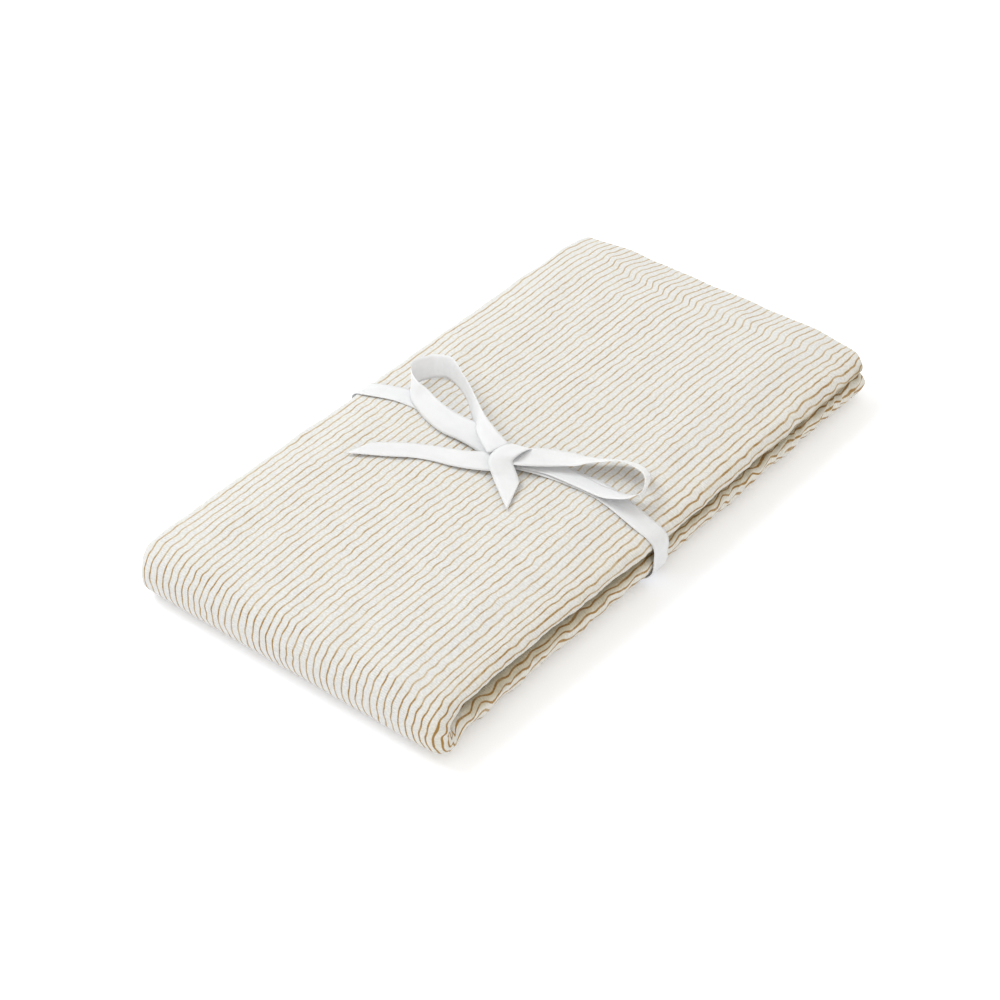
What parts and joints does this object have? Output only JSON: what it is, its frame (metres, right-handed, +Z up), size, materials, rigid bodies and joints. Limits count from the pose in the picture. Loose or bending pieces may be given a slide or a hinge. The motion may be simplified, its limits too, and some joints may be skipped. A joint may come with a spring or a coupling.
{
  "type": "folded baby wrap tied with a ribbon",
  "caption": "Striped crinkled muslin baby wrap, folded into a flat pack and tied round its middle with a narrow ribbon in a bow.",
  "frame": {"origin": "on the surface the pack lies on, under the centre of its bounding box", "axes": "+Z up, +Y along the pack from its turned near end to its open far end, +X across it"},
  "size_m": [0.1618, 0.3, 0.0375],
  "materials": {
    "muslin": "crinkled off-white muslin with thin tan stripes along the pack",
    "ribbon": "white woven ribbon with a soft sheen and a fine rib",
    "thread": "off-white sewing thread of the hems"
  },
  "bodies": {
    "wrap": {"upper_folded_stack": "muslin", "lower_folded_stack": "muslin", "near_end_fold": "muslin", "upper_far_fold": "muslin", "lower_far_hems": "muslin"},
    "ribbon": {"ribbon_under_run": "ribbon", "ribbon_left_side": "ribbon", "ribbon_right_side": "ribbon", "ribbon_top_left_run": "ribbon", "ribbon_top_right_run": "ribbon", "bow_knot": "ribbon", "left_loop_near_arm": "ribbon", "left_loop_far_arm": "ribbon", "right_loop_near_arm": "ribbon", "right_loop_far_arm": "ribbon", "left_tail": "ribbon", "front_tail": "ribbon"}
  },
  "joints": [
    {"name": "ribbon_slip", "type": "slide", "parent": "wrap", "child": "ribbon", "axis": [0, 1, 0], "range_m": [-0.114, 0.135]}
  ]
}
